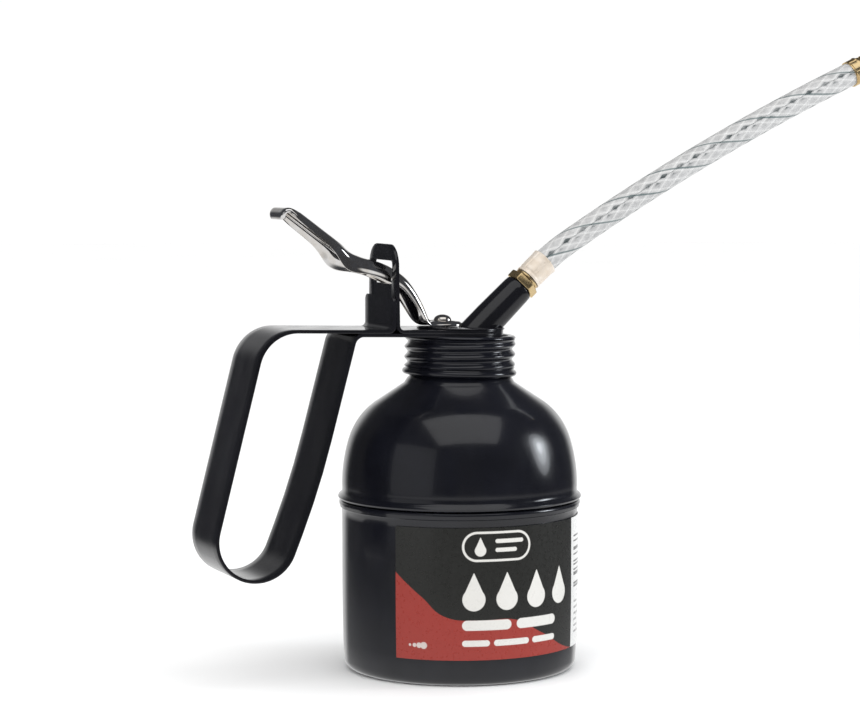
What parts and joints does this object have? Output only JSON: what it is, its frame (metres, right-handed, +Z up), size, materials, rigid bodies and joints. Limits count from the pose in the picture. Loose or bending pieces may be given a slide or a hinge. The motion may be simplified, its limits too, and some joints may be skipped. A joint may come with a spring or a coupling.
{
  "type": "thumb-lever pump oil can",
  "caption": "Round oil can with a domed shoulder, strap handle, chrome thumb lever working a plunger pump, and a braided flexible spout with a brass nozzle.",
  "frame": {"origin": "centre of the can's flat base, on the surface it stands on", "axes": "+Z up along the can's axis, +X from the can's axis toward the spout, -X toward the handle, Y across the strap's width"},
  "size_m": [0.2461, 0.0764, 0.2012],
  "materials": {
    "navy_black_enamel": "gloss stove enamel",
    "black_satin_paint": "satin paint",
    "chrome_plate": "bright plate",
    "bright_steel": "plain",
    "brass": "machined",
    "plated_ferrule": "thin bright plate, crimped",
    "clear_braided_hose": "clear wall over a white braid",
    "black_rubber": "matte",
    "brown_leather": "oiled",
    "label_paper": "varnished print"
  },
  "bodies": {
    "can": {"can_base": "navy_black_enamel", "can_top": "navy_black_enamel", "wrap_label": "label_paper"},
    "cap_seal": {"cap_gasket": "black_rubber"},
    "pump": {"cap": "navy_black_enamel", "handle_strap": "black_satin_paint", "lever_bracket": "black_satin_paint", "pump_head": "black_satin_paint", "pump_body": "brass", "body_screw_front": "bright_steel", "body_screw_rear": "bright_steel", "rod_packing": "black_rubber", "spring_washer": "bright_steel", "pump_barrel": "brass", "foot_valve_body": "brass", "ball_stop_pin": "bright_steel", "suction_tube": "brass", "return_spring": "bright_steel", "hex_fitting": "brass", "fitting_washer": "brass", "base_ferrule": "plated_ferrule", "hose_lower": "clear_braided_hose"},
    "lever": {"thumb_lever": "chrome_plate"},
    "plunger": {"pump_rod": "bright_steel", "piston": "brass", "piston_cup": "brown_leather", "piston_nut": "brass"},
    "valve_ball": {"foot_valve_ball": "bright_steel"},
    "spout": {"hose_upper": "clear_braided_hose", "tip_ferrule": "plated_ferrule", "nozzle": "brass"}
  },
  "joints": [
    {"name": "cap_lift", "type": "slide", "parent": "can", "child": "cap_seal", "axis": [0, 0, 1], "range_m": [0, 0.0096]},
    {"name": "cap_turn", "type": "hinge", "parent": "cap_seal", "child": "pump", "pos_m": [0, 0, 0.1048], "axis": [0, 0, 1], "range_deg": [0, 1080]},
    {"name": "lever_pivot", "type": "hinge", "parent": "pump", "child": "lever", "pos_m": [-0.02515, 0, 0.12145], "axis": [0, -1, 0], "range_deg": [0, 22], "stiffness_Nm_per_rad": 0.117, "springref_deg": -26.53},
    {"name": "rod_lift", "type": "slide", "parent": "pump", "child": "plunger", "axis": [0, 0, 1], "range_m": [0, 0.00829], "deforming": ["return_spring"]},
    {"name": "ball_lift", "type": "slide", "parent": "pump", "child": "valve_ball", "axis": [0, 0, 1], "range_m": [0, 0.0012]},
    {"name": "spout_flex", "type": "hinge", "parent": "pump", "child": "spout", "pos_m": [0.06758, 0, 0.153], "axis": [0, 1, 0], "range_deg": [-25, 25], "stiffness_Nm_per_rad": 0.8}
  ],
  "couplings": [
    {"joint": "cap_turn", "follows": "cap_lift", "rad_per_m": 1963.5},
    {"joint": "lever_pivot", "follows": "rod_lift", "rad_per_m": 46.296}
  ]
}
